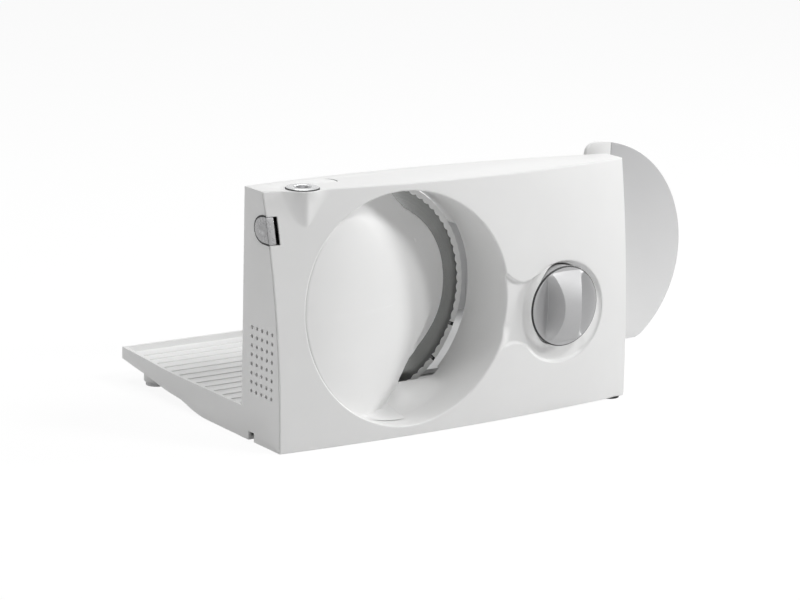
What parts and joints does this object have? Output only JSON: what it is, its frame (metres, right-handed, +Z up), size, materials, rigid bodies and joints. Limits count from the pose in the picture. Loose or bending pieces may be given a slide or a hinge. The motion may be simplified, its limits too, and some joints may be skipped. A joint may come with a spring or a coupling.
{
  "type": "electric food slicer",
  "caption": "Upright household food slicer: round serrated blade in a deep bore, thickness knob moving a stop plate with a rounded wing, ribbed table with sliding carriage and remnant holder.",
  "frame": {"origin": "middle of the overall box on the plane of the feet", "axes": "+X along the upright from the blade end to the stop wing, -Y out of the front face with the knob, +Z up"},
  "size_m": [0.3995, 0.247, 0.1908],
  "materials": {
    "white_plastic": "satin moulded",
    "grey_plastic": "satin moulded",
    "silver_trim": "silver lacquer",
    "blade_steel": "ground and polished",
    "bare_steel": "plain",
    "motor_can": "zinc grey",
    "natural_plastic": "plain moulded",
    "black_plastic": "plain moulded",
    "rubber_foot": "matt"
  },
  "bodies": {
    "base": {"housing": "white_plastic", "front_cover": "white_plastic", "slice_guide": "white_plastic", "arbor_bush_rear": "natural_plastic", "arbor_bush_front": "natural_plastic", "idler_axle": "bare_steel", "motor": "motor_can", "gear_plate": "bare_steel", "guide_bush_1": "natural_plastic", "guide_bush_2": "natural_plastic", "button_ring": "silver_trim", "switch_body": "black_plastic", "lock_latch": "black_plastic", "button_spring": "bare_steel", "lock_spring": "bare_steel", "foot_front_left": "rubber_foot", "foot_front_right": "rubber_foot", "foot_rear_left": "rubber_foot", "foot_rear_right": "rubber_foot", "cord_grommet": "black_plastic", "guide_screw_1": "bare_steel", "guide_screw_2": "bare_steel", "guide_screw_3": "bare_steel", "cover_screw_1": "bare_steel", "cover_screw_2": "bare_steel", "cover_screw_3": "bare_steel", "cover_screw_4": "bare_steel", "gear_plate_screw_1": "bare_steel", "gear_plate_screw_2": "bare_steel", "gear_plate_screw_3": "bare_steel"},
    "blade_unit": {"blade": "blade_steel", "blade_gear": "natural_plastic", "blade_arbor": "bare_steel", "blade_cap": "grey_plastic"},
    "idler": {"idler_gear": "natural_plastic"},
    "rotor": {"motor_pinion": "bare_steel", "motor_shaft": "bare_steel", "motor_armature": "bare_steel"},
    "knob": {"thickness_knob": "silver_trim", "knob_spindle": "bare_steel"},
    "stop": {"stop_plate": "white_plastic", "stop_wing": "grey_plastic", "guide_pin_1": "bare_steel", "guide_pin_2": "bare_steel"},
    "power": {"power_button": "silver_trim", "switch_plunger": "natural_plastic"},
    "lock": {"lock_button": "silver_trim"},
    "carriage": {"carriage": "white_plastic"},
    "holder": {"remnant_holder": "grey_plastic"}
  },
  "joints": [
    {"name": "blade_spin", "type": "hinge", "parent": "base", "child": "blade_unit", "pos_m": [-0.09215, -0.0545, 0.0938], "axis": [0, 1, 0], "continuous": true},
    {"name": "idler_spin", "type": "hinge", "parent": "base", "child": "idler", "pos_m": [-0.12318, -0.0645, 0.06777], "axis": [0, 1, 0], "continuous": true},
    {"name": "rotor_spin", "type": "hinge", "parent": "base", "child": "rotor", "pos_m": [-0.15144, -0.0705, 0.04798], "axis": [0, 1, 0], "continuous": true},
    {"name": "knob_turn", "type": "hinge", "parent": "base", "child": "knob", "pos_m": [0.04305, -0.1045, 0.082], "axis": [0, 1, 0], "range_deg": [-103.8, 166.1]},
    {"name": "stop_slide", "type": "slide", "parent": "base", "child": "stop", "axis": [0, -1, 0], "range_m": [-0.005, 0.008]},
    {"name": "power_press", "type": "slide", "parent": "base", "child": "power", "axis": [0, 0, -1], "range_m": [0, 0.003], "stiffness_N_per_m": 500, "deforming": ["button_spring"]},
    {"name": "lock_press", "type": "slide", "parent": "base", "child": "lock", "axis": [1, 0, 0], "range_m": [0, 0.003], "stiffness_N_per_m": 500, "deforming": ["lock_spring"]},
    {"name": "carriage_slide", "type": "slide", "parent": "base", "child": "carriage", "axis": [-1, 0, 0], "range_m": [0, 0.147]},
    {"name": "holder_slide", "type": "slide", "parent": "carriage", "child": "holder", "axis": [0, -1, 0], "range_m": [0, 0.115]}
  ],
  "couplings": [
    {"joint": "idler_spin", "follows": "blade_spin", "ratio": -3.5},
    {"joint": "rotor_spin", "follows": "blade_spin", "ratio": 12.6},
    {"joint": "stop_slide", "follows": "knob_turn", "m_per_rad": 0.0027587}
  ]
}
